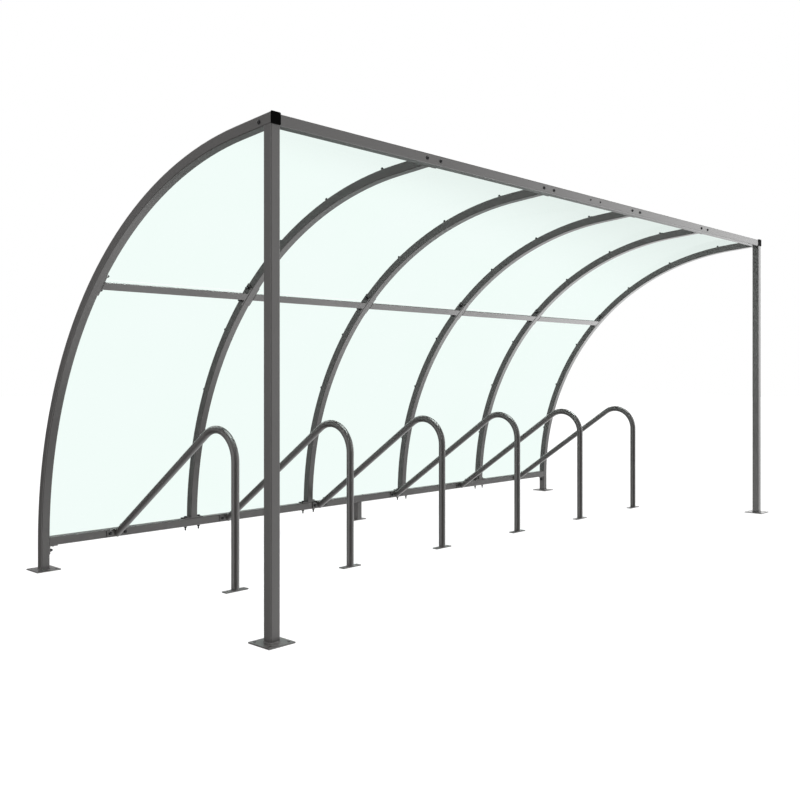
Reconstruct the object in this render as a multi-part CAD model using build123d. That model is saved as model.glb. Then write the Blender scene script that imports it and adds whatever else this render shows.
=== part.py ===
from build123d import *
from math import asin, atan2, cos, degrees, hypot, radians, sin
import os

# Open-fronted bike shelter: rolled square-tube ribs carry clear sheets over a row of hoops.
# X runs along the shelter, Y from the open front to the back, Z up from the ground.

# Bays and overall frame
bay_count = 5
bay_pitch = 1000.0
frame_depth = 2090.0
centre_share = 0.5

# Square tube of the frame
tube = 50.0
tube_wall = 3.0
tube_corner = 5.0

# Rolled ribs: a short upright leg, a long arc and a straight rising tail
arc_setback = 74.0
rib_leg_height = 166.0
rib_sweep = 85.7
rib_overrun = 120.0

# Plates under the frame
base_plate = 140.0
base_plate_thickness = 6.0
anchor_spacing = 100.0
anchor_hole = 14.0

# Bolted flanges and angle brackets between frame members
flange_length = 140.0
flange_thickness = 6.0
flange_bolt_spacing = 100.0
bracket_leg = 50.0
bracket_width = 40.0
bracket_thickness = 5.0

# Long members
bottom_rail_height = 162.0
mid_rail_width = 50.0
mid_rail_thickness = 6.0
mid_rail_angle = 45.8
mid_flange_width = 46.0
sleeve_length = 220.0
slip_gap = 0.3

# Clear sheets
sheet_thickness = 3.0
sheet_gap = 0.3
sheet_joint = 6.0
sheet_joint_angle = 45.9
sheet_front_inset = 25.0

# Hoops
hoop_count = 6
hoop_pitch = 820.0
hoop_tube = 42.4
hoop_wall = 2.6
hoop_setback = 868.0
hoop_height = 853.0
hoop_bend = 165.0
hoop_plate_length = 140.0
hoop_plate_width = 40.0
hoop_plate_thickness = 6.0
hoop_hole = 12.0

# End caps
cap_side = 53.0
cap_head = 4.0
cap_plug_length = 18.0
cap_plug_share = 0.9
cap_edge = 1.5

# Places that follow from the sizes above
half_length = bay_count * bay_pitch * centre_share
post_y = -frame_depth * centre_share
rear_y = frame_depth * centre_share
half_tube = tube * centre_share
front_y = post_y - half_tube
bore = tube - tube_wall - tube_wall
arc_y = post_y + arc_setback
rib_radius = rear_y - arc_y
arc_z = rib_leg_height
tail_rise = radians(90 - rib_sweep)
rib_xs = [bay_pitch * i - half_length for i in range(bay_count + 1)]
hoop_xs = [hoop_pitch * (i - (hoop_count - 1) * centre_share) for i in range(hoop_count)]
rail_top = bottom_rail_height + half_tube
rail_bottom = bottom_rail_height - half_tube


def tail_height(y, offset=0):
    """Height of the rib's straight tail at depth y, offset square to it from the centre line."""
    bend_y = arc_y + rib_radius * sin(tail_rise)
    bend_z = arc_z + rib_radius * cos(tail_rise)
    return bend_z + (bend_y - y) * sin(tail_rise) / cos(tail_rise) + offset / cos(tail_rise)


# The level beam and the flanges on its back lie just under the sheets
inner_front = post_y + half_tube + flange_thickness
beam_z = tail_height(inner_front, half_tube) - half_tube


def tube_profile(side, corner, wall):
    """Section of a cold-formed square tube."""
    hole = side - wall - wall
    return RectangleRounded(side, side, corner) - Rectangle(hole, hole)


def place(x, y, z):
    return Location((x, y, z))


def long_tube(x0, x1, y, z, side=tube, corner=tube_corner):
    """Square tube along X from x0 to x1."""
    section = Plane.YZ * tube_profile(side, corner, tube_wall)
    return place(x0, y, z) * extrude(section, amount=x1 - x0)


def upright(x, y, z0, z1):
    """Square tube standing from z0 to z1."""
    return place(x, y, z0) * extrude(tube_profile(tube, tube_corner, tube_wall), amount=z1 - z0)


def plate(width, length, thickness, hole=0, spacing_x=0, spacing_y=0):
    """Flat plate with, where asked, a grid or a pair of holes."""
    outline = Rectangle(width, length)
    if hole and spacing_y:
        outline -= GridLocations(spacing_x, spacing_y, 2, 2) * Circle(hole * centre_share)
    elif hole:
        outline -= GridLocations(spacing_x, spacing_x, 2, 1) * Circle(hole * centre_share)
    return extrude(outline, amount=thickness)


def bracket():
    """Angle bracket with its heel at the origin and its legs along X and Y."""
    corner = (Align.MIN, Align.MIN)
    section = Rectangle(bracket_leg, bracket_thickness, align=corner)
    section += Rectangle(bracket_thickness, bracket_leg, align=corner)
    half_width = bracket_width * centre_share
    return place(0, 0, -half_width) * extrude(section, amount=bracket_width)


def rib_path(radius, start_z, tail_end_y):
    """Leg, arc and rising tail in the plane across the shelter."""
    base_y = arc_y + radius
    line = Line((base_y, start_z), (base_y, arc_z))
    arc = JernArc(line @ 1, line % 1, radius, rib_sweep)
    run = ((arc @ 1).X - tail_end_y) / cos(tail_rise)
    tail = Line(arc @ 1, (arc @ 1) + run * (arc % 1))
    return Plane.YZ * Wire([line, arc, tail])


def keep(x, width, y0, z0):
    """Block that trims a rib flat at its foot and at its front end."""
    depth = frame_depth + frame_depth
    return place(x, y0, z0) * Box(width, depth, depth, align=(Align.CENTER, Align.MIN, Align.MIN))


def rolled(section, radius, start_z, tail_end_y):
    """Section carried along a rib path at the given radius."""
    path = rib_path(radius, start_z, tail_end_y)
    start = Plane(origin=(0, arc_y + radius, start_z), x_dir=(1, 0, 0), z_dir=(0, 0, 1))
    return sweep(start * section, path=path)


pieces = {}

# Ribs: the two end ribs stand on plates, the inner ribs sit on the bottom rail
whole_rib = rolled(tube_profile(tube, tube_corner, tube_wall), rib_radius, 0, front_y - rib_overrun)
inner_foot = rail_top + flange_thickness
for number, x in enumerate(rib_xs, start=1):
    at_end = number in (1, bay_count + 1)
    foot = base_plate_thickness if at_end else inner_foot
    front = front_y if at_end else inner_front
    pieces[f"rib_{number}"] = (place(x, 0, 0) * whole_rib) & keep(x, base_plate, front, foot)

# Front posts, cut on the slope to meet the underside of the end ribs
under = Plane(
    origin=(0, post_y, tail_height(post_y, -half_tube)),
    z_dir=(0, sin(tail_rise), cos(tail_rise)),
)
for side, x in (("left", -half_length), ("right", half_length)):
    blank = upright(0, post_y, base_plate_thickness, beam_z + tube)
    pieces[f"front_post_{side}"] = place(x, 0, 0) * split(blank, bisect_by=under, keep=Keep.BOTTOM)

# Ground plates
corner_plate = plate(
    base_plate, base_plate, base_plate_thickness, anchor_hole, anchor_spacing, anchor_spacing
)
for side, x in (("left", -half_length), ("right", half_length)):
    for row, y in (("front", post_y), ("rear", rear_y)):
        pieces[f"base_plate_{row}_{side}"] = place(x, y, 0) * corner_plate
centre_plate = plate(base_plate, tube, base_plate_thickness, anchor_hole, anchor_spacing)
pieces["base_plate_centre"] = place(0, rear_y, 0) * centre_plate
pieces["centre_foot"] = upright(0, rear_y, base_plate_thickness, rail_bottom)

# Top beam and bottom rail, each in two lengths joined on a sleeve
inner_end = half_length - half_tube
for side, x0, x1 in (("left", -inner_end, 0), ("right", 0, inner_end)):
    pieces[f"top_beam_{side}"] = long_tube(x0, x1, post_y, beam_z)
    pieces[f"bottom_rail_{side}"] = long_tube(x0, x1, rear_y, bottom_rail_height)
sleeve_side = bore - slip_gap - slip_gap
half_sleeve = sleeve_length * centre_share
pieces["splice_sleeves"] = Compound(children=[
    long_tube(-half_sleeve, half_sleeve, y, z, sleeve_side, tube_wall)
    for y, z in ((post_y, beam_z), (rear_y, bottom_rail_height))
])

# Angle brackets tie the beam to the end ribs from behind and the rail from below
beam_bracket = place(-inner_end, post_y + half_tube, beam_z) * bracket()
rail_bracket = place(-inner_end, rear_y, rail_bottom) * Rotation(-90, 0, 0) * bracket()
for name, first in (("beam_brackets", beam_bracket), ("rail_brackets", rail_bracket)):
    pieces[name] = Compound(children=[first, mirror(first, about=Plane.YZ)])

# Flanges at the foot and the top of the inner ribs
rib_flange = plate(flange_length, tube, flange_thickness)
standing = Rotation(90, 0, 0) * rib_flange
inner_xs = rib_xs[1:-1]
pieces["rib_foot_flanges"] = Compound(children=[place(x, rear_y, rail_top) * rib_flange for x in inner_xs])
pieces["rib_top_flanges"] = Compound(children=[place(x, inner_front, beam_z) * standing for x in inner_xs])

# Mid rails: flat bars between the ribs, flush with their hollow sides, on flanges turned with the arc
def on_arc(radius):
    """Depth and height at the mid rails' angle."""
    angle = radians(mid_rail_angle)
    return arc_y + radius * cos(angle), arc_z + radius * sin(angle)


clear = half_tube + flange_thickness
turned = Plane.YZ * Rotation(0, 0, mid_rail_angle)
mid_flange = turned * plate(mid_flange_width, flange_length, flange_thickness)
bar = turned * extrude(Rectangle(mid_rail_thickness, mid_rail_width), amount=bay_pitch - clear - clear)
bar_radius = rib_radius - half_tube + mid_rail_thickness * centre_share
mid_rails = []
mid_flanges = []
for x0, x1 in zip(rib_xs, rib_xs[1:]):
    mid_rails.append(place(x0 + clear, *on_arc(bar_radius)) * bar)
    for x in (x0 + half_tube, x1 - clear):
        mid_flanges.append(place(x, *on_arc(rib_radius)) * mid_flange)
pieces["mid_rails"] = Compound(children=mid_rails)
pieces["mid_rail_flanges"] = Compound(children=mid_flanges)

# Clear sheets, an upper and a lower row, each from the middle of one rib to the middle of the next
sheet_radius = rib_radius + half_tube + sheet_gap + sheet_thickness * centre_share
sheet_section = Rectangle(bay_pitch - sheet_joint, sheet_thickness)
curved = rolled(sheet_section, sheet_radius, arc_z - half_tube, front_y + sheet_front_inset)
joint = radians(sheet_joint_angle)
seam = Plane(origin=(0, arc_y, arc_z), z_dir=(0, -sin(joint), cos(joint)))
lift = sheet_joint * centre_share
upper = split(curved, bisect_by=seam.offset(lift), keep=Keep.TOP)
lower = split(curved, bisect_by=seam.offset(-lift), keep=Keep.BOTTOM)
for number, (x0, x1) in enumerate(zip(rib_xs, rib_xs[1:]), start=1):
    middle = (x0 + x1) * centre_share
    pieces[f"upper_sheet_{number}"] = place(middle, 0, 0) * upper
    pieces[f"lower_sheet_{number}"] = place(middle, 0, 0) * lower

# Hoops: an upright leg, a bend and a long leg falling to the bottom rail
hoop_y = post_y + hoop_setback
hoop_end_y = rear_y - half_tube - hoop_plate_thickness
bend_y = hoop_y + hoop_bend
bend_z = hoop_height - hoop_bend - hoop_tube * centre_share
fall = atan2(bend_z - bottom_rail_height, hoop_end_y - bend_y)
fall += asin(hoop_bend / hypot(hoop_end_y - bend_y, bend_z - bottom_rail_height))
leg = Line((hoop_y, hoop_plate_thickness), (hoop_y, bend_z))
bend = JernArc(leg @ 1, leg % 1, hoop_bend, degrees(fall) * -1 - 90)
run = (hoop_end_y - (bend @ 1).X) / cos(fall) + hoop_tube
long_leg = Line(bend @ 1, (bend @ 1) + run * (bend % 1))
hoop_path = Plane.YZ * Wire([leg, bend, long_leg])
hoop_outer = hoop_tube * centre_share
hoop_section = Circle(hoop_outer) - Circle(hoop_outer - hoop_wall)
hoop_start = Plane(origin=(0, hoop_y, hoop_plate_thickness), x_dir=(1, 0, 0), z_dir=(0, 0, 1))
wall_face = Plane(origin=(0, hoop_end_y, 0), z_dir=(0, 1, 0))
hoop = split(sweep(hoop_start * hoop_section, path=hoop_path), bisect_by=wall_face, keep=Keep.BOTTOM)
for number, x in enumerate(hoop_xs, start=1):
    pieces[f"hoop_{number}"] = place(x, 0, 0) * hoop

# Plates at both ends of the hoops
hoop_plate = plate(
    hoop_plate_length, hoop_plate_width, hoop_plate_thickness, hoop_hole, flange_bolt_spacing
)
wall_plate = Rotation(90, 0, 0) * plate(hoop_plate_length, hoop_plate_width, hoop_plate_thickness)
pieces["hoop_foot_plates"] = Compound(children=[place(x, hoop_y, 0) * hoop_plate for x in hoop_xs])
pieces["hoop_rail_plates"] = Compound(
    children=[place(x, rear_y - half_tube, bottom_rail_height) * wall_plate for x in hoop_xs]
)

# Caps in the open front ends of the end ribs
cap_z = tail_height(front_y)
cap_head_solid = extrude(RectangleRounded(cap_side, cap_side, tube_corner), amount=cap_head)
cap_head_solid = chamfer(cap_head_solid.faces().sort_by(Axis.Z)[-1].edges(), cap_edge)
plug_side = bore * cap_plug_share
cap_solid = cap_head_solid + extrude(Rectangle(plug_side, plug_side), amount=-cap_plug_length)
for side, x in (("left", -half_length), ("right", half_length)):
    pieces[f"end_cap_{side}"] = place(x, front_y, cap_z) * Rotation(90, 0, 0) * cap_solid

os.makedirs("parts", exist_ok=True)
for name, piece in pieces.items():
    export_step(piece, f"parts/{name}.step")
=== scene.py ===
from math import asin, atan2, cos, hypot, pi, radians, sin

import bpy
import numpy as np
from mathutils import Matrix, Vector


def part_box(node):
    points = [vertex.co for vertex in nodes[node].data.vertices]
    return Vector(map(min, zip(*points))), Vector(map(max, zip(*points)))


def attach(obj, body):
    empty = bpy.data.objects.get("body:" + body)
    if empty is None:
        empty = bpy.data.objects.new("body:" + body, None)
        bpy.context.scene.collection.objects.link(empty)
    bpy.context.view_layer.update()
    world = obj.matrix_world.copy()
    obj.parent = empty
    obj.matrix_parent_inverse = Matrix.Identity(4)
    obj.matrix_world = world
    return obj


# An open-fronted bike shelter: dark powder-coated frame, clear curved sheets, six hoops.
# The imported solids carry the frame; this file gives them their finishes and adds the
# bolts, nuts, screws and welds.
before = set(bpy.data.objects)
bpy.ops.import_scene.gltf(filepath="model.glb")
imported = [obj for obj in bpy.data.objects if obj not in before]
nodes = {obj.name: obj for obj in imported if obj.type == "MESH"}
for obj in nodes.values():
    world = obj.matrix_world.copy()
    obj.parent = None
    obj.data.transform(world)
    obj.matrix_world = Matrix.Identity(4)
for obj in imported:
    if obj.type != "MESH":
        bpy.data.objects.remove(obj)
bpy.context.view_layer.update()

# Sizes in metres that the solids share with the fittings on them
TUBE = 0.050
TUBE_CORNER = 0.005
PLATE = 0.006
BRACKET = 0.005
BOLT_PAIR = 0.100
BAR_WIDTH = 0.050
BAR_THICK = 0.006
ARC_SETBACK = 0.074
LEG_HEIGHT = 0.166
MID_ANGLE = radians(45.8)
SHEET_TOP = 0.0033
HOOP_TUBE = 0.0424
HOOP_BEND = 0.165

# Where the fittings sit, in metres
SPLICE_BOLT = 0.055  # either side of the middle of the beam and the rail
BRACKET_REACH = 0.030  # from a tube's face to the bolt in the bracket's arm
BRACKET_DROP = 0.004  # from the beam's middle line down to the bolt through the rib
SHEET_SCREW_IN = 0.0145  # from the rib's middle line towards the middle of the sheet
SHEET_SCREW_ANGLES = [radians(a) for a in (12.6, 25.0, 37.3, 58.1, 70.5, 83.0)]
HOOP_SCREW_BACK = 0.062  # up the long leg from its end
HOOP_SCREW_SINK = 0.0004  # into the round of the tube

# Welds, in metres: width, spacing of the beads, and the step along the path
WELD = 0.004
BAR_WELD = 0.003
BEAD_PITCH = 0.0045
WELD_STEP = 0.0016
FOOT_WELD_HALF = radians(50)
RAIL_WELD_HALF = radians(38)

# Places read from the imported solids
X, Y, Z = range(3)
numbers = range(1, 7)


def middle(node, axis):
    """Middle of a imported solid's box along one axis."""
    low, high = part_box(node)
    return float(low[axis] + high[axis]) / 2


rib_xs = [middle(f"rib_{i}", X) for i in numbers]
inner_xs = rib_xs[1:-1]
end_xs = (rib_xs[0], rib_xs[-1])
beam_z = middle("top_beam_left", Z)
post_y = middle("top_beam_left", Y)
rail_z = middle("bottom_rail_left", Z)
rear_y = middle("bottom_rail_left", Y)
half_tube = TUBE / 2
arc_y = post_y + ARC_SETBACK
arc_radius = rear_y - arc_y

# The hoops: foot, bend, and the angle at which the long leg falls from the bend to the rail
hoop_xs = [middle(f"hoop_{i}", X) for i in numbers]
hoop_low, hoop_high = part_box("hoop_1")
hoop_radius = HOOP_TUBE / 2
hoop_y = float(hoop_low.y) + hoop_radius
hoop_end_y = rear_y - half_tube - PLATE
bend_y = hoop_y + HOOP_BEND
bend_z = float(hoop_high.z) - hoop_radius - HOOP_BEND
hoop_fall = atan2(bend_z - rail_z, hoop_end_y - bend_y)
hoop_fall += asin(HOOP_BEND / hypot(hoop_end_y - bend_y, bend_z - rail_z))


# Finishes

def linear(code, alpha=1.0):
    """An sRGB hex colour as linear RGBA."""
    channels = [int(code[i:i + 2], 16) / 255 for i in (1, 3, 5)]
    return tuple(
        c / 12.92 if c <= 0.04045 else ((c + 0.055) / 1.055) ** 2.4 for c in channels
    ) + (alpha,)


def add(tree, kind, inputs=None, **settings):
    """Adds one node. An input given as a socket is linked, any other value is set."""
    made = tree.nodes.new(kind)
    for name, value in settings.items():
        setattr(made, name, value)
    for key, value in (inputs or {}).items():
        if isinstance(value, bpy.types.NodeSocket):
            tree.links.new(value, made.inputs[key])
        else:
            made.inputs[key].default_value = value
    return made


def new_material(name):
    """An empty material and its node tree."""
    made = bpy.data.materials.new(name)
    made.use_nodes = True
    made.node_tree.nodes.clear()
    return made, made.node_tree


def per_mm(size):
    """Noise scale that gives features of about this size in millimetres."""
    return 1000.0 / size


def powder_coated_steel():
    # Polyester powder coat baked on steel: dark grey, semi-gloss, with a fine orange peel that
    # breaks up the reflections and a faint cloudiness in depth of colour.
    material, tree = new_material("powder_coated_steel")
    place = add(tree, "ShaderNodeTexCoord").outputs["Object"]
    cloud = add(tree, "ShaderNodeTexNoise", {
        "Vector": place, "Scale": per_mm(140), "Detail": 3.0,
    })
    colour = add(tree, "ShaderNodeMix", {
        "Factor": cloud.outputs["Fac"], "A": linear("#3e3c3b"), "B": linear("#434140"),
    }, data_type="RGBA")
    # Real peel is about 1 mm; it is drawn at 3 mm so that it shows.
    peel = add(tree, "ShaderNodeTexNoise", {
        "Vector": place, "Scale": per_mm(3), "Detail": 2.0,
    })
    gloss = add(tree, "ShaderNodeMapRange", {
        "Value": peel.outputs["Fac"], "To Min": 0.26, "To Max": 0.34,
    })
    bump = add(tree, "ShaderNodeBump", {
        "Height": peel.outputs["Fac"], "Strength": 0.10, "Distance": 0.0004,
    })
    skin = add(tree, "ShaderNodeBsdfPrincipled", {
        "Base Color": colour.outputs["Result"], "Roughness": gloss.outputs["Result"],
        "Normal": bump.outputs["Normal"], "IOR": 1.5,
    })
    add(tree, "ShaderNodeOutputMaterial", {"Surface": skin.outputs["BSDF"]})
    return material


def plated_steel(name, dark, pale, smooth, dull, metallic):
    # Zinc-plated fasteners: metal with the fine grain of the plating in its colour and gloss.
    # Real grain is finer than a tenth of a millimetre; it is drawn at 1.5 mm so that it shows.
    material, tree = new_material(name)
    place = add(tree, "ShaderNodeTexCoord").outputs["Object"]
    grain = add(tree, "ShaderNodeTexNoise", {
        "Vector": place, "Scale": per_mm(1.5), "Detail": 3.0,
    })
    colour = add(tree, "ShaderNodeMix", {
        "Factor": grain.outputs["Fac"], "A": linear(dark), "B": linear(pale),
    }, data_type="RGBA")
    gloss = add(tree, "ShaderNodeMapRange", {
        "Value": grain.outputs["Fac"], "To Min": smooth, "To Max": dull,
    })
    skin = add(tree, "ShaderNodeBsdfPrincipled", {
        "Base Color": colour.outputs["Result"], "Roughness": gloss.outputs["Result"],
        "Metallic": metallic,
    })
    add(tree, "ShaderNodeOutputMaterial", {"Surface": skin.outputs["BSDF"]})
    return material


def clear_polycarbonate():
    # Extruded clear sheet, 3 mm thick: seen through freely with a pale mint tint that deepens
    # where the eye looks along the sheet, and the faint cloudiness of extrusion. It neither
    # shifts nor mirrors what is behind it, so the IOR is matched far below the 1.58 of solid
    # polycarbonate.
    material, tree = new_material("clear_polycarbonate")
    place = add(tree, "ShaderNodeTexCoord").outputs["Object"]
    cloud = add(tree, "ShaderNodeTexNoise", {
        "Vector": place, "Scale": per_mm(400), "Detail": 1.0,
    })
    tint = add(tree, "ShaderNodeMix", {
        "Factor": cloud.outputs["Fac"], "A": linear("#f1fdf8"), "B": linear("#f3fdfa"),
    }, data_type="RGBA")
    slant = add(tree, "ShaderNodeLayerWeight", {"Blend": 0.5})
    depth = add(tree, "ShaderNodeMapRange", {
        "Value": slant.outputs["Facing"], "From Min": 0.60, "From Max": 0.82,
    }, interpolation_type="SMOOTHSTEP")
    colour = add(tree, "ShaderNodeMix", {
        "Factor": depth.outputs["Result"], "A": tint.outputs["Result"], "B": linear("#e3ede9"),
    }, data_type="RGBA")
    skin = add(tree, "ShaderNodeBsdfPrincipled", {
        "Base Color": colour.outputs["Result"], "Roughness": 0.03, "IOR": 1.01,
        "Transmission Weight": 1.0,
    })
    add(tree, "ShaderNodeOutputMaterial", {"Surface": skin.outputs["BSDF"]})
    return material


def black_polyethylene():
    # Injection-moulded cap: deep matt black with a fine spark-eroded grain. Real grain is
    # about 0.2 mm; it is drawn at 0.8 mm so that it shows.
    material, tree = new_material("moulded_black_polyethylene")
    place = add(tree, "ShaderNodeTexCoord").outputs["Object"]
    grain = add(tree, "ShaderNodeTexNoise", {
        "Vector": place, "Scale": per_mm(0.8), "Detail": 2.0,
    })
    bump = add(tree, "ShaderNodeBump", {
        "Height": grain.outputs["Fac"], "Strength": 0.25, "Distance": 0.0002,
    })
    gloss = add(tree, "ShaderNodeMapRange", {
        "Value": grain.outputs["Fac"], "To Min": 0.5, "To Max": 0.65,
    })
    skin = add(tree, "ShaderNodeBsdfPrincipled", {
        "Base Color": linear("#020202"), "Roughness": gloss.outputs["Result"],
        "Specular IOR Level": 0.015, "Normal": bump.outputs["Normal"],
    })
    add(tree, "ShaderNodeOutputMaterial", {"Surface": skin.outputs["BSDF"]})
    return material


coat = powder_coated_steel()
# Black-passivated bolts and screws: near black, a dull metallic glint on the chamfers.
bolt_black = plated_steel("black_zinc_plated_steel", "#1b1b1c", "#2c2c2e", 0.36, 0.52, 0.7)
# Clear-passivated nuts: a dark grey metal, softly shiny.
bolt_zinc = plated_steel("zinc_plated_steel", "#38383a", "#4a4a4b", 0.34, 0.48, 0.9)
clear_sheet = clear_polycarbonate()
cap_black = black_polyethylene()

for name, node in nodes.items():
    node.data.materials.clear()
    node.data.materials.append(
        clear_sheet if "sheet" in name else cap_black if "cap" in name else coat
    )


# Shapes

def skin_of_rings(rings):
    """Faces over rings[i, j]: quads between neighbouring rings, and a fan from the middle of
    each end ring."""
    count, sides = rings.shape[:2]
    here = np.arange(sides)
    there = np.roll(here, -1)
    start = np.arange(count - 1)[:, None] * sides
    above = start + sides
    quads = np.stack([start + here, start + there, above + there, above + here], -1)
    low = np.stack([np.full(sides, count * sides), there, here], -1)
    last = (count - 1) * sides
    high = np.stack([np.full(sides, count * sides + 1), last + here, last + there], -1)
    points = np.concatenate([rings.reshape(-1, 3), [rings[0].mean(0), rings[-1].mean(0)]])
    return points, quads.reshape(-1, 4).tolist() + low.tolist() + high.tolist()


def turned(profile, sides, flats=0.0):
    """Closed shape about Z: P(i, a) = (r cos a, r sin a, z_i), r the profile's radius r_i,
    cut down to a hexagon, flats / 2 / cos(a mod 60 - 30 degrees), where flats are given."""
    angle = np.arange(sides) * 2 * pi / sides
    radius, height = np.array(profile, float).T
    r = np.repeat(radius[:, None], sides, 1)
    if flats:
        r = np.minimum(r, flats / 2 / np.cos((angle + pi / 6) % (pi / 3) - pi / 6))
    level = np.repeat(height[:, None], sides, 1)
    return skin_of_rings(np.stack([r * np.cos(angle), r * np.sin(angle), level], -1))


def joined(*shapes):
    """Several shapes as one list of points and faces."""
    points, faces, offset = [], [], 0
    for some_points, some_faces in shapes:
        points.append(some_points)
        faces += [[offset + i for i in face] for face in some_faces]
        offset += len(some_points)
    return np.concatenate(points), faces


def set_at(shape, places):
    """Copies of a shape, one for each (foot point, axis): its Z turned to the axis, its foot
    to the point."""
    points, faces = shape
    copies = []
    for foot, axis in places:
        z = np.array(axis, float) / np.linalg.norm(axis)
        x = np.cross((0.0, 1.0, 0.0) if abs(z[1]) < 0.9 else (0.0, 0.0, 1.0), z)
        x /= np.linalg.norm(x)
        turn = np.stack([x, np.cross(z, x), z])
        copies.append((points @ turn + np.array(foot, float), faces))
    return joined(*copies)


def both_sides(shape):
    """A shape and the same turned half round about Z."""
    points, faces = shape
    return joined(shape, (points * (-1, -1, 1), faces))


def piece(name, shape, material, sharp=radians(32)):
    """Puts a shape into a mesh of its own that rides on the frame."""
    points, faces = shape
    mesh = bpy.data.meshes.new(name)
    mesh.from_pydata(points.tolist(), [], faces)
    mesh.polygons.foreach_set("use_smooth", np.ones(len(faces), bool))
    mesh.set_sharp_from_angle(angle=sharp)
    mesh.materials.append(material)
    mesh.update()
    made = bpy.data.objects.new(name, mesh)
    bpy.context.scene.collection.objects.link(made)
    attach(made, "root")
    return made


def hex_bolt(flats, head, washer_radius, washer):
    """Washer and hexagon head, standing on z = 0: two outlines turned about Z, with a small
    bevel on the washer and a chamfer over the head's corners."""
    corner = flats / 2 / cos(pi / 6)
    face = flats * 0.47
    top = washer + head
    ring = turned([
        (washer_radius * 0.97, 0), (washer_radius, washer * 0.2),
        (washer_radius, washer * 0.75), (washer_radius * 0.95, washer),
    ], 32)
    hexagon = turned([
        (face, washer * 0.9), (corner, washer + head * 0.06), (corner, top - head * 0.22),
        (corner * 0.955, top - head * 0.08), (face, top), (flats * 0.2, top),
    ], 24, flats)
    return joined(ring, hexagon)


def dome_screw(radius, height, washer_radius, washer):
    """Button-head screw on a washer: elliptical dome r = R cos t, z = h sin t, t from 0 to
    two thirds of a right angle, with a round socket sunk in its top."""
    arc = np.linspace(0, 1, 7)[:-1] * pi / 2 * 0.8
    dome = [(radius * cos(t), washer + height * sin(t)) for t in arc]
    rim = dome[-1][1]
    socket = radius * 0.36
    socket_middle = 0.0004
    ring = turned([
        (washer_radius * 0.97, 0), (washer_radius, washer * 0.3),
        (washer_radius * 0.96, washer), (radius * 0.9, washer * 1.1),
    ], 28)
    head = turned([
        (radius, washer * 0.8), *dome, (socket * 1.15, rim), (socket, rim - height * 0.4),
        (socket_middle, rim - height * 0.45),
    ], 24)
    return joined(ring, head)


def threaded_end(flats, nut, washer_radius, washer, radius, length):
    """Washer, nut and the ridged end of a bolt: r = R + ridge cos(turns) along the length,
    with a small chamfer at the tip."""
    ridge, turns = 0.04, 12
    foot = washer + nut
    steps = np.linspace(0, 1, 25)
    rounds = radius * (1 + ridge * np.cos(steps * turns * 2 * pi))
    rows = [(r, foot + length * s) for r, s in zip(rounds, steps)]
    stud = turned(rows + [(radius * 0.8, foot + length * 1.06)], 16)
    return joined(hex_bolt(flats, nut, washer_radius, washer), stud)


def dome_nut(flats, nut, washer_radius, washer, dome):
    """Washer, hexagon and the cap over the bolt's end: r = R cos t, z = h sin t."""
    radius = flats * 0.46
    foot = washer + nut
    arc = [(radius * cos(t), foot + dome * sin(t)) for t in np.linspace(0, pi / 2, 8)[:-1]]
    cap = turned([(radius, foot - nut * 0.3)] + arc, 24)
    return joined(hex_bolt(flats, nut, washer_radius, washer), cap)


def tube_outline(side, corner):
    """Rounded square walked anticlockwise at even steps: four straight runs and four quarter
    arcs. Gives points and outward directions in the plane."""
    flat = side - 2 * corner
    quarter = corner * pi / 2
    total = 4 * (flat + quarter)
    s = np.linspace(0, total, int(total / WELD_STEP), endpoint=False)
    edge = np.floor(s / (flat + quarter)).astype(int)
    along = s - edge * (flat + quarter)
    turn = np.clip((along - flat) / corner, 0, pi / 2)
    run = np.minimum(along, flat) - flat / 2
    across = flat / 2 + corner * np.cos(turn)
    onward = np.where(along < flat, run, flat / 2 + corner * np.sin(turn))
    local = np.stack([across, onward], -1)
    out = np.stack([np.cos(turn), np.sin(turn)], -1)
    c, d = np.cos(edge * pi / 2), np.sin(edge * pi / 2)
    spin = np.stack([np.stack([c, -d], -1), np.stack([d, c], -1)], -2)
    return np.einsum("nij,nj->ni", spin, local), np.einsum("nij,nj->ni", spin, out)


def straight_run(length, offset):
    """Path of a weld on the +X side of a wall: x = offset, y over the length."""
    y = np.linspace(-length / 2, length / 2, int(length / WELD_STEP))
    return np.stack([np.full_like(y, offset), y], -1), np.tile((1.0, 0.0), (len(y), 1))


def arc_run(radius, stretch, half_angle):
    """Part of a circle or ellipse about the +X side: (r cos a, r stretch sin a), a from -h to
    h."""
    count = int(2 * half_angle * radius * stretch / WELD_STEP)
    angle = np.linspace(-half_angle, half_angle, count)
    out = np.stack([np.cos(angle) * stretch, np.sin(angle)], -1)
    out /= np.linalg.norm(out, axis=1)[:, None]
    return np.stack([np.cos(angle) * radius, np.sin(angle) * radius * stretch], -1), out


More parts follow.
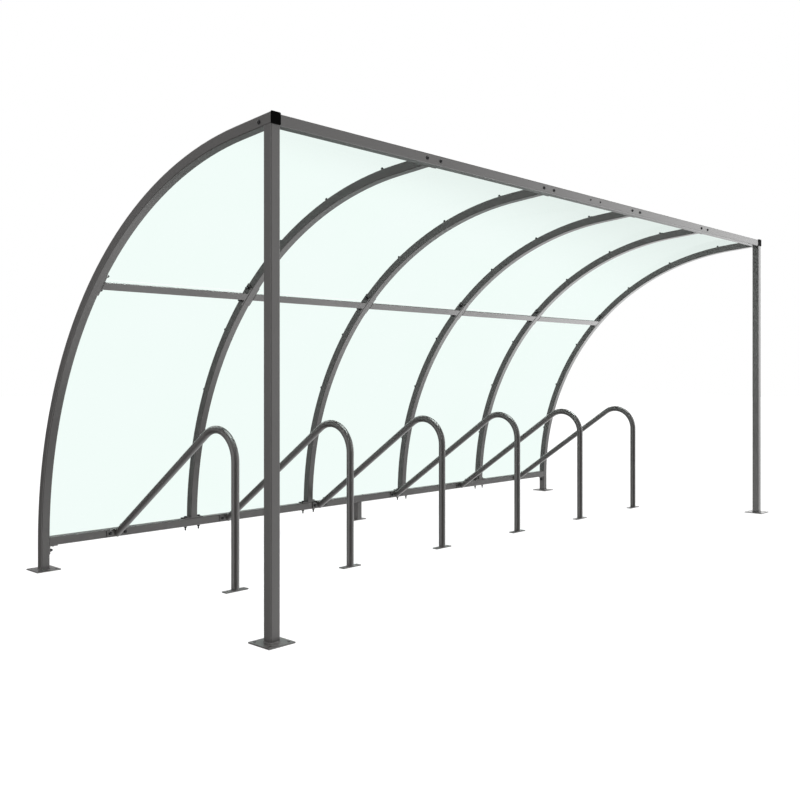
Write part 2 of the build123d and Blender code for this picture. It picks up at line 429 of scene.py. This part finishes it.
def weld(path, out, size, closed=True):
    """Fillet weld along the foot of a wall that stands on z = 0: at each path point p with
    outward direction o the section is p + w (o sin t + z cos t), t from 0 to 90 degrees. w
    swells by a tenth once every bead pitch, and on an open path it sinks to three tenths at
    both ends as the square root of sin."""
    swell, end_width = 0.1, 0.3
    heel_in, heel_down = 0.2, 0.05
    count = len(path)
    along = np.linspace(0, 1, count, endpoint=not closed)
    length = np.linalg.norm(np.diff(path, axis=0), axis=1).sum()
    beads = max(round(length / BEAD_PITCH), 3)
    w = size * (1 + swell * np.cos(2 * pi * beads * along))
    if not closed:
        fade = np.sqrt(np.sin(pi * np.clip(along, 0, 1)).clip(0))
        w *= end_width + (1 - end_width) * fade
    t = np.linspace(0, pi / 2, 6)
    flat_part = path[:, None] + (w[:, None] * np.sin(t))[..., None] * out[:, None]
    bead = np.concatenate([flat_part, (w[:, None] * np.cos(t))[..., None]], -1)
    sunk = np.full((count, 1), -size * heel_down)
    heel = np.concatenate([path - out * size * heel_in, sunk], -1)[:, None]
    rows = np.concatenate([bead, heel], 1)
    sides = rows.shape[1]
    here = np.arange(sides)
    there = np.roll(here, -1)
    start = np.arange(count if closed else count - 1)[:, None]
    after = (start + 1) % count * sides
    start = start * sides
    quads = np.stack([start + here, start + there, after + there, after + here], -1)
    faces = quads.reshape(-1, 4).tolist()
    if not closed:
        faces += [here[::-1].tolist(), ((count - 1) * sides + here).tolist()]
    return rows.reshape(-1, 3), faces


# Fasteners, in metres: width over flats or radius of the head, its height, washer radius and
# thickness, then the radius and length of the threaded end or the height of the dome

button = dome_screw(0.0088, 0.0050, 0.0105, 0.0012)
small_button = dome_screw(0.0055, 0.0034, 0.0064, 0.001)
hoop_screw = dome_screw(0.007, 0.0055, 0.0075, 0.001)
sheet_screw = hex_bolt(0.010, 0.0056, 0.0085, 0.0025)
m10 = hex_bolt(0.017, 0.0064, 0.0105, 0.002)
m10_nut_end = threaded_end(0.017, 0.008, 0.0105, 0.002, 0.005, 0.017)
m10_dome_nut = dome_nut(0.017, 0.012, 0.0105, 0.002, 0.010)
m8_nut_end = threaded_end(0.013, 0.0065, 0.0085, 0.0016, 0.004, 0.009)
pair = (-BOLT_PAIR / 2, BOLT_PAIR / 2)
left, right = (-1, 0, 0), (1, 0, 0)
front, back = (0, -1, 0), (0, 1, 0)
down, up = (0, 0, -1), (0, 0, 1)

# Bolts through the beam and the rail
beam_front = post_y - half_tube
beam_back = post_y + half_tube
flange_back = beam_back + PLATE
piece("beam_bolts", joined(
    set_at(button, [((x + d, beam_front, beam_z), front) for x in inner_xs for d in pair]),
    set_at(m10_nut_end, [((x + d, flange_back, beam_z), back) for x in inner_xs for d in pair]),
), bolt_black)

rail_top = rail_z + half_tube
rail_bottom = rail_z - half_tube
flange_top = rail_top + PLATE
piece("rib_foot_bolts", joined(
    set_at(m10, [((x + d, rear_y, flange_top), up) for x in inner_xs for d in pair]),
    set_at(m10_nut_end, [((x + d, rear_y, rail_bottom), down) for x in inner_xs for d in pair]),
), bolt_black)

piece("splice_bolts", set_at(small_button, [
    place for d in (-SPLICE_BOLT, SPLICE_BOLT) for place in (
        ((d, beam_front, beam_z), front), ((d, beam_back, beam_z), back),
        ((d, rear_y, rail_top), up), ((d, rear_y, rail_bottom), down),
    )
]), bolt_black)

# Bolts of the angle brackets on the end ribs: heads outside the ribs and under the rail, nuts
# inside
heads, nuts, caps = [], [], []
for x, inward in zip(end_xs, (1, -1)):
    outside = x - inward * half_tube
    inside = x + inward * (half_tube + BRACKET)
    arm = x + inward * (half_tube + BRACKET_REACH)
    rib_y = beam_back + BRACKET_REACH
    rib_z = beam_z - BRACKET_DROP
    heads += [((outside, rib_y, rib_z), (-inward, 0, 0))]
    heads += [((arm, rear_y, rail_bottom - BRACKET), down)]
    nuts += [((inside, rib_y, rib_z), (inward, 0, 0))]
    nuts += [((arm, beam_back + BRACKET, beam_z), back)]
    caps += [((inside, rear_y, rail_bottom - BRACKET_REACH), (inward, 0, 0))]
piece("bracket_bolts", set_at(button, heads), bolt_black)
piece("bracket_nuts", joined(
    set_at(m8_nut_end, nuts), set_at(m10_dome_nut, caps),
), bolt_zinc)

# Bolts of the mid rail flanges, a pair along the arc at each rib
arc_out = np.array([0.0, cos(MID_ANGLE), sin(MID_ANGLE)])
along_arc = np.array([0.0, -sin(MID_ANGLE), cos(MID_ANGLE)])
arc_middle = np.array([0.0, arc_y, LEG_HEIGHT])
mid_place = arc_middle + arc_radius * arc_out
nuts, heads = [], []
for i, x in enumerate(rib_xs):
    for d in pair:
        spot = mid_place + d * along_arc
        before = spot + (x - half_tube - PLATE, 0, 0)
        behind = spot + (x + half_tube + PLATE, 0, 0)
        if i == 0:
            nuts.append((behind, right))
        else:
            nuts.append((before, left))
            if i < len(rib_xs) - 1:
                heads.append((behind, right))
piece("mid_rail_bolts", joined(
    set_at(m10_dome_nut, nuts), set_at(m10, heads),
), bolt_zinc)

# Screws that hold each sheet down on its two ribs, even along the arc
outer = arc_radius + half_tube + SHEET_TOP
piece("sheet_screws", set_at(sheet_screw, [
    ((x, arc_y + outer * cos(a), LEG_HEIGHT + outer * sin(a)), (0, cos(a), sin(a)))
    for x0, x1 in zip(rib_xs, rib_xs[1:])
    for x in (x0 + SHEET_SCREW_IN, x1 - SHEET_SCREW_IN)
    for a in SHEET_SCREW_ANGLES
]), bolt_black)

# Bolts of the hoops' rear plates, and the screw on each long leg
piece("hoop_bolts", set_at(m10, [
    ((x + d, hoop_end_y, rail_z), front) for x in hoop_xs for d in pair
]), bolt_black)
long_leg = np.array([0.0, cos(hoop_fall), -sin(hoop_fall)])
leg_up = np.array([0.0, sin(hoop_fall), cos(hoop_fall)])
leg_end = np.array([0.0, hoop_end_y, rail_z])
screw_foot = leg_end - long_leg * HOOP_SCREW_BACK + leg_up * (hoop_radius - HOOP_SCREW_SINK)
piece("hoop_screws", set_at(hoop_screw, [
    (screw_foot + (x, 0.0, 0.0), leg_up) for x in hoop_xs
]), bolt_black)

# Welds: all round on the square plates, on the two broad sides where a plate is no deeper
# than the tube
foot_weld = weld(*tube_outline(TUBE, TUBE_CORNER), WELD)
piece("foot_welds", set_at(foot_weld, [
    ((x, y, PLATE), up) for x in end_xs for y in (post_y, rear_y)
]), coat)
side_weld = both_sides(weld(*straight_run(TUBE - 2 * TUBE_CORNER, half_tube), WELD, False))
piece("rib_end_welds", set_at(side_weld, (
    [((x, rear_y, flange_top), up) for x in inner_xs]
    + [((x, flange_back, beam_z), back) for x in inner_xs]
    + [((0, rear_y, PLATE), up)]
)), coat)
bar_weld, bar_faces = weld(*straight_run(BAR_WIDTH, 0), BAR_WELD, False)
bar_spot = arc_middle + (arc_radius - half_tube + BAR_THICK) * arc_out
bar_welds = []
for x0, x1 in zip(rib_xs, rib_xs[1:]):
    for x, axis in ((x0 + half_tube + PLATE, right), (x1 - half_tube - PLATE, left)):
        turn = np.stack([arc_out, np.cross(axis, arc_out), np.array(axis, float)])
        bar_welds.append((bar_weld @ turn + bar_spot + (x, 0, 0), bar_faces))
piece("mid_rail_welds", joined(*bar_welds), coat)
foot_arc = both_sides(weld(*arc_run(hoop_radius, 1.0, FOOT_WELD_HALF), WELD, False))
leg_stretch = 1 / cos(hoop_fall)
rail_arc = both_sides(weld(*arc_run(hoop_radius, leg_stretch, RAIL_WELD_HALF), WELD, False))
piece("hoop_welds", joined(
    set_at(foot_arc, [((x, hoop_y, PLATE), up) for x in hoop_xs]),
    set_at(rail_arc, [((x, hoop_end_y, rail_z), front) for x in hoop_xs]),
), coat)


# Floor, light and camera

FLOOR_HALF = 40.0
FLOOR_DROP = 0.0005
FAINT_LIGHT = 0.01

# Each soft light: azimuth from the right-hand end towards the back and elevation, the half
# angles of its even core and of its edge, all in degrees, and its strength
SOFT_LIGHTS = (
    # right-hand end, towards the front and the ground
    (338, 8, 4, 16, 2.45), (338, -10, 4, 16, 1.3), (345, 15, 5, 22, 1.75),
    (350, -30, 5, 22, 2.6), (10, -15, 5, 22, 0.5), (0, -35, 10, 42, 1.55),
    # right-hand end, towards the back
    (22, 8, 4, 16, 1.8), (48, 14, 3, 13, 0.4), (46, -35, 6, 20, 0.45), (13, -26, 4, 14, 0.7),
    (30, 0, 8, 35, 0.46), (60, 35, 10, 42, 0.3), (60, -35, 10, 42, 0.15),
    # back
    (90, 30, 10, 42, 0.5), (92, 32, 8, 26, 1.6), (80, -15, 8, 24, 1.1), (120, 35, 10, 42, 0.1),
    # left-hand end
    (150, 0, 8, 35, 1.22), (161, 5, 3, 12, 0.35), (180, 35, 10, 42, 0.9),
    (180, 0, 8, 35, 1.45), (180, -35, 10, 42, 0.8),
    # front
    (240, 35, 10, 42, 1.05), (300, 35, 10, 42, 0.55), (300, 0, 8, 35, 1.15),
    (300, -35, 10, 42, 1.15), (315, 10, 5, 22, 0.55),
    # above, below, and the strong one overhead that glints on the bends of the hoops
    (0, 80, 10, 45, 0.1), (0, -80, 10, 45, 1.45), (345, 73, 8, 26, 13.0),
)


def studio_floor():
    """White floor, a flat square just under the plates."""
    mesh = bpy.data.meshes.new("studio_floor")
    half = FLOOR_HALF
    corners = [(-half, -half, 0), (half, -half, 0), (half, half, 0), (-half, half, 0)]
    mesh.from_pydata(corners, [], [(0, 1, 2, 3)])
    floor = bpy.data.objects.new("studio_floor", mesh)
    bpy.context.scene.collection.objects.link(floor)
    floor.location.z = -FLOOR_DROP
    # Matt board that glows white by itself, so that only the faintest contact shadows show.
    material, tree = new_material("matt_white_board")
    board = add(tree, "ShaderNodeBsdfPrincipled", {
        "Base Color": linear("#565656"), "Roughness": 1.0, "Specular IOR Level": 0.0,
        "Emission Color": linear("#ffffff"), "Emission Strength": 0.945,
    })
    add(tree, "ShaderNodeOutputMaterial", {"Surface": board.outputs["BSDF"]})
    mesh.materials.append(material)
    floor.visible_glossy = False
    floor.visible_diffuse = False
    floor.visible_transmission = False


def studio_light():
    """Light from all round: the strengths of the soft lights added up, each falling off
    smoothly from its core to its edge. What is seen past the object or through its sheets is
    plain white."""
    world = bpy.data.worlds.new("studio_light")
    bpy.context.scene.world = world
    world.use_nodes = True
    tree = world.node_tree
    tree.nodes.clear()
    white = linear("#ffffff")
    direction = add(tree, "ShaderNodeTexCoord").outputs["Generated"]
    level = FAINT_LIGHT
    for azimuth, elevation, core, edge, strength in SOFT_LIGHTS:
        a, e = radians(azimuth), radians(elevation)
        towards = add(tree, "ShaderNodeVectorMath", {
            0: direction, 1: (cos(e) * cos(a), cos(e) * sin(a), sin(e)),
        }, operation="DOT_PRODUCT")
        lobe = add(tree, "ShaderNodeMapRange", {
            "Value": towards.outputs["Value"], "From Min": cos(radians(edge)),
            "From Max": cos(radians(core)), "To Min": 0.0, "To Max": strength,
        }, interpolation_type="SMOOTHSTEP")
        total = add(tree, "ShaderNodeMath", {0: lobe.outputs["Result"], 1: level})
        level = total.outputs["Value"]
    light = add(tree, "ShaderNodeBackground", {"Color": white, "Strength": level})
    backdrop = add(tree, "ShaderNodeBackground", {"Color": white, "Strength": 1.0})
    path = add(tree, "ShaderNodeLightPath")
    bounces = add(tree, "ShaderNodeMath", {
        0: path.outputs["Glossy Depth"], 1: path.outputs["Diffuse Depth"],
    })
    straight = add(tree, "ShaderNodeMath", {
        0: bounces.outputs["Value"], 1: 0.5,
    }, operation="LESS_THAN")
    onward = add(tree, "ShaderNodeMath", {
        0: path.outputs["Is Camera Ray"], 1: path.outputs["Is Transmission Ray"],
    }, operation="MAXIMUM")
    seen = add(tree, "ShaderNodeMath", {
        0: onward.outputs["Value"], 1: straight.outputs["Value"],
    }, operation="MULTIPLY")
    both = add(tree, "ShaderNodeMixShader", {
        0: seen.outputs["Value"], 1: light.outputs["Background"],
        2: backdrop.outputs["Background"],
    })
    add(tree, "ShaderNodeOutputWorld", {"Surface": both.outputs["Shader"]})


def front_left_view():
    """Camera at the near left corner, held level, the frame shifted down to the object."""
    camera = bpy.data.cameras.new("camera")
    camera.sensor_width = 36.0
    camera.lens = 41.149
    camera.shift_y = -0.03233
    eye = bpy.data.objects.new("camera", camera)
    eye.location = (-4.9062, -4.0700, 1.1266)
    eye.rotation_euler = (radians(90), 0, radians(-46.479))
    bpy.context.scene.collection.objects.link(eye)
    bpy.context.scene.camera = eye


studio_floor()
studio_light()
front_left_view()
bpy.context.scene.view_settings.view_transform = "Standard"
